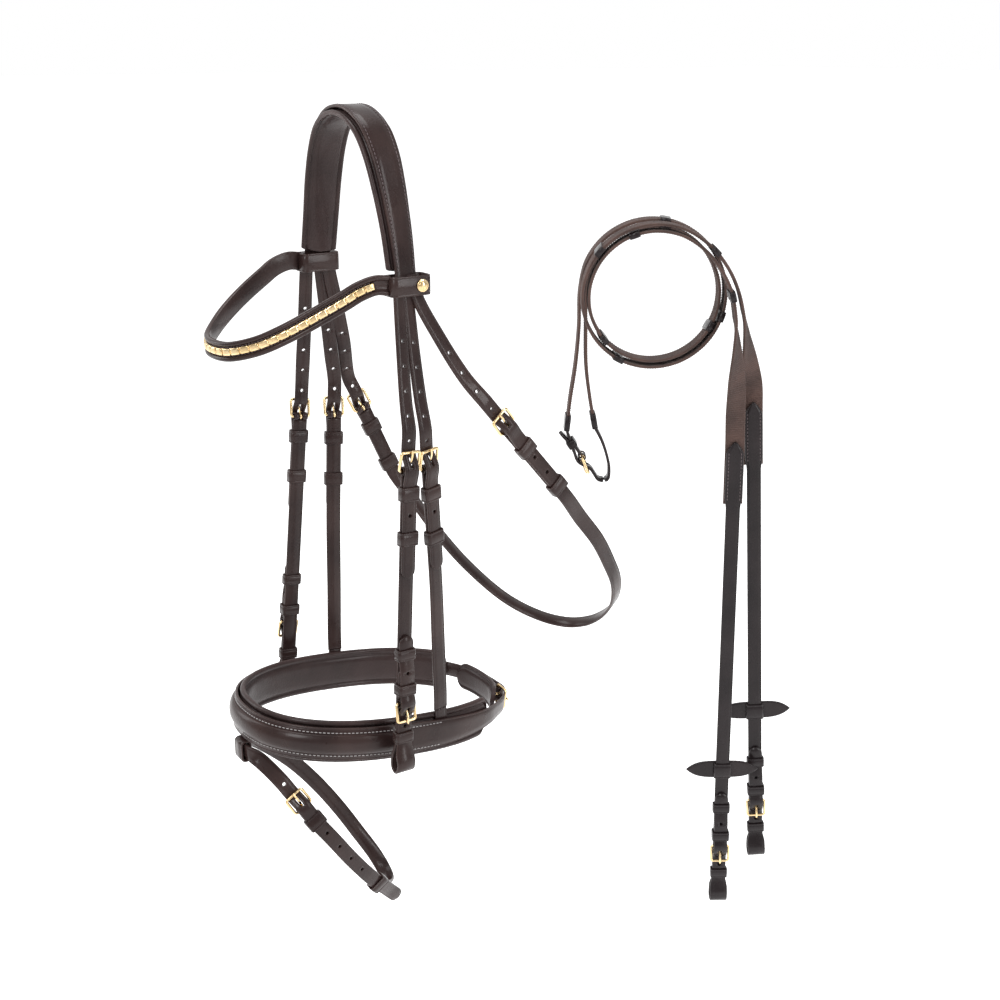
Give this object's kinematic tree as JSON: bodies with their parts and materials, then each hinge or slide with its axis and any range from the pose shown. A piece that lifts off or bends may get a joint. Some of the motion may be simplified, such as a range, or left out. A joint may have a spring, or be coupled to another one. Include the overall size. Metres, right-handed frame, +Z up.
{
  "type": "snaffle bridle",
  "caption": "Snaffle bridle of dark brown leather with a brass clincher browband, padded cavesson noseband with flash strap, throatlatch and webbing reins.",
  "frame": {"origin": "underside of the crown pad at the poll, midway between the near and far sides of the headstall", "axes": "+Z up, +X towards the near (left) side of the horse, -Y the way the horse faces"},
  "size_m": [0.2418, 0.5089, 0.7565],
  "materials": {
    "brown_leather": "smooth dark brown bridle leather with a soft sheen, edges dyed",
    "pad_leather": "soft dark brown lining leather over padding",
    "black_leather": "smooth black bridle leather",
    "brass": "polished yellow brass",
    "webbing": "ribbed brown webbing"
  },
  "bodies": {
    "headstall": {"headpiece": "brown_leather", "crown_padding": "pad_leather", "browband": "brown_leather", "clincher": "brass", "near_browband_stud": "brass", "far_browband_stud": "brass", "near_cheek_buckle": "brass", "far_cheek_buckle": "brass", "near_hanger_buckle": "brass", "far_hanger_buckle": "brass", "near_throat_buckle": "brass", "far_throat_buckle": "brass"},
    "near_cheek": {"near_cheekpiece": "brown_leather", "near_cheek_billet_tail": "brown_leather", "near_bit_buckle": "brass"},
    "far_cheek": {"far_cheekpiece": "brown_leather", "far_cheek_billet_tail": "brown_leather", "far_bit_buckle": "brass"},
    "near_cheek_runner": {"near_cheek_runner": "brown_leather"},
    "far_cheek_runner": {"far_cheek_runner": "brown_leather"},
    "cavesson": {"noseband": "brown_leather", "noseband_front_roll": "brown_leather", "noseband_padding": "pad_leather", "chin_pad": "pad_leather", "jaw_buckle": "brass", "flash_loop": "brown_leather", "near_hanger": "brown_leather", "far_hanger": "brown_leather", "near_hanger_billet_tail": "brown_leather", "far_hanger_billet_tail": "brown_leather"},
    "flash": {"flash_strap": "brown_leather", "flash_buckle": "brass"},
    "throatlatch": {"throatlatch": "brown_leather", "near_throat_billet_tail": "brown_leather", "far_throat_billet_tail": "brown_leather"},
    "reins": {"near_rein_web": "webbing", "far_rein_web": "webbing", "near_rein_leather": "black_leather", "far_rein_leather": "black_leather", "near_rein_buckle": "brass", "far_rein_buckle": "brass", "far_rein_centre_chape": "black_leather", "near_rein_centre_billet": "black_leather", "rein_centre_buckle": "brass"},
    "near_rein_stop": {"near_rein_stop": "black_leather"},
    "far_rein_stop": {"far_rein_stop": "black_leather"},
    "near_cheek_tongue": {"near_cheek_tongue": "brass"},
    "near_bit_tongue": {"near_bit_tongue": "brass"},
    "near_hanger_tongue": {"near_hanger_tongue": "brass"},
    "near_throat_tongue": {"near_throat_tongue": "brass"},
    "far_cheek_tongue": {"far_cheek_tongue": "brass"},
    "far_bit_tongue": {"far_bit_tongue": "brass"},
    "far_hanger_tongue": {"far_hanger_tongue": "brass"},
    "far_throat_tongue": {"far_throat_tongue": "brass"},
    "jaw_tongue": {"jaw_tongue": "brass"},
    "flash_tongue": {"flash_tongue": "brass"},
    "rein_centre_tongue": {"rein_centre_tongue": "brass"},
    "near_rein_tongue": {"near_rein_tongue": "brass"},
    "far_rein_tongue": {"far_rein_tongue": "brass"}
  },
  "joints": [
    {"name": "near_cheek_swing", "type": "hinge", "parent": "headstall", "child": "near_cheek", "pos_m": [0.097, -0.011, -0.256], "axis": [0.0499, -0.9974, 0.0516], "range_deg": [0, 20]},
    {"name": "far_cheek_swing", "type": "hinge", "parent": "headstall", "child": "far_cheek", "pos_m": [-0.097, -0.007, -0.256], "axis": [0.0497, 0.9939, -0.0988], "range_deg": [0, 20]},
    {"name": "near_cheek_runner_slide", "type": "slide", "parent": "near_cheek", "child": "near_cheek_runner", "axis": [-0.004, 0.0515, 0.9987], "range_m": [-0.07, 0.024]},
    {"name": "far_cheek_runner_slide", "type": "slide", "parent": "far_cheek", "child": "far_cheek_runner", "axis": [0.0039, 0.0987, 0.9951], "range_m": [-0.07, 0.024]},
    {"name": "noseband_swing", "type": "hinge", "parent": "headstall", "child": "cavesson", "pos_m": [0, 0.0165, -0.258], "axis": [0.9968, -0.0804, 0], "range_deg": [-5, 5]},
    {"name": "throatlatch_swing", "type": "hinge", "parent": "headstall", "child": "throatlatch", "pos_m": [0.0015, 0.0665, -0.246], "axis": [0.9872, 0.1153, 0.1102], "range_deg": [-4, 4]},
    {"name": "flash_swing", "type": "hinge", "parent": "cavesson", "child": "flash", "pos_m": [0, -0.118, -0.5034], "axis": [1, 0, 0], "range_deg": [-8, 8]},
    {"name": "reins_lift_off", "type": "slide", "parent": "headstall", "child": "reins", "axis": [0, 0, 1], "range_m": [0, 0.15]},
    {"name": "near_rein_stop_slide", "type": "slide", "parent": "reins", "child": "near_rein_stop", "axis": [-0.0072, -0.0108, 0.9999], "range_m": [-0.014, 0.25]},
    {"name": "far_rein_stop_slide", "type": "slide", "parent": "reins", "child": "far_rein_stop", "axis": [-0.033, -0.0493, 0.9982], "range_m": [-0.027, 0.23]},
    {"name": "near_cheek_tongue_lift", "type": "hinge", "parent": "headstall", "child": "near_cheek_tongue", "pos_m": [0.097, -0.011, -0.256], "axis": [-0.0499, 0.9974, -0.0516], "range_deg": [0, 4]},
    {"name": "near_bit_tongue_lift", "type": "hinge", "parent": "near_cheek", "child": "near_bit_tongue", "pos_m": [0.10075, -0.02069, -0.44674], "axis": [0.0499, -0.9974, 0.0516], "range_deg": [0, 4]},
    {"name": "near_hanger_tongue_lift", "type": "hinge", "parent": "headstall", "child": "near_hanger_tongue", "pos_m": [0.093, 0.009, -0.258], "axis": [-0.1953, 0.9767, 0.0889], "range_deg": [0, 4]},
    {"name": "near_throat_tongue_lift", "type": "hinge", "parent": "headstall", "child": "near_throat_tongue", "pos_m": [0.1, 0.078, -0.235], "axis": [-0.0763, 0.7626, 0.6423], "range_deg": [0, 4]},
    {"name": "far_cheek_tongue_lift", "type": "hinge", "parent": "headstall", "child": "far_cheek_tongue", "pos_m": [-0.097, -0.007, -0.256], "axis": [-0.0497, -0.9939, 0.0988], "range_deg": [0, 4]},
    {"name": "far_bit_tongue_lift", "type": "hinge", "parent": "far_cheek", "child": "far_bit_tongue", "pos_m": [-0.10075, -0.02571, -0.44607], "axis": [0.0497, 0.9939, -0.0988], "range_deg": [0, 4]},
    {"name": "far_hanger_tongue_lift", "type": "hinge", "parent": "headstall", "child": "far_hanger_tongue", "pos_m": [-0.093, 0.024, -0.258], "axis": [-0.1957, -0.9787, 0.0622], "range_deg": [0, 4]},
    {"name": "far_throat_tongue_lift", "type": "hinge", "parent": "headstall", "child": "far_throat_tongue", "pos_m": [-0.097, 0.055, -0.257], "axis": [-0.0913, -0.9131, -0.3974], "range_deg": [0, 4]},
    {"name": "jaw_tongue_lift", "type": "hinge", "parent": "cavesson", "child": "jaw_tongue", "pos_m": [0.02256, 0.1194, -0.5075], "axis": [0, 0.1236, 0.9923], "range_deg": [0, 4]},
    {"name": "flash_tongue_lift", "type": "hinge", "parent": "flash", "child": "flash_tongue", "pos_m": [0.042, -0.086, -0.549], "axis": [-0.0407, 0.8711, 0.4895], "range_deg": [0, 4]},
    {"name": "rein_centre_tongue_lift", "type": "hinge", "parent": "reins", "child": "rein_centre_tongue", "pos_m": [0.01788, 0.21473, -0.3], "axis": [-0.831, 0.5563, 0], "range_deg": [0, 4]},
    {"name": "near_rein_tongue_lift", "type": "hinge", "parent": "reins", "child": "near_rein_tongue", "pos_m": [0.1161, 0.3165, -0.68601], "axis": [-0.5563, -0.8309, -0.013], "range_deg": [0, 4]},
    {"name": "far_rein_tongue_lift", "type": "hinge", "parent": "reins", "child": "far_rein_tongue", "pos_m": [0.12237, 0.35463, -0.64511], "axis": [-0.5553, -0.8295, -0.0594], "range_deg": [0, 4]}
  ]
}
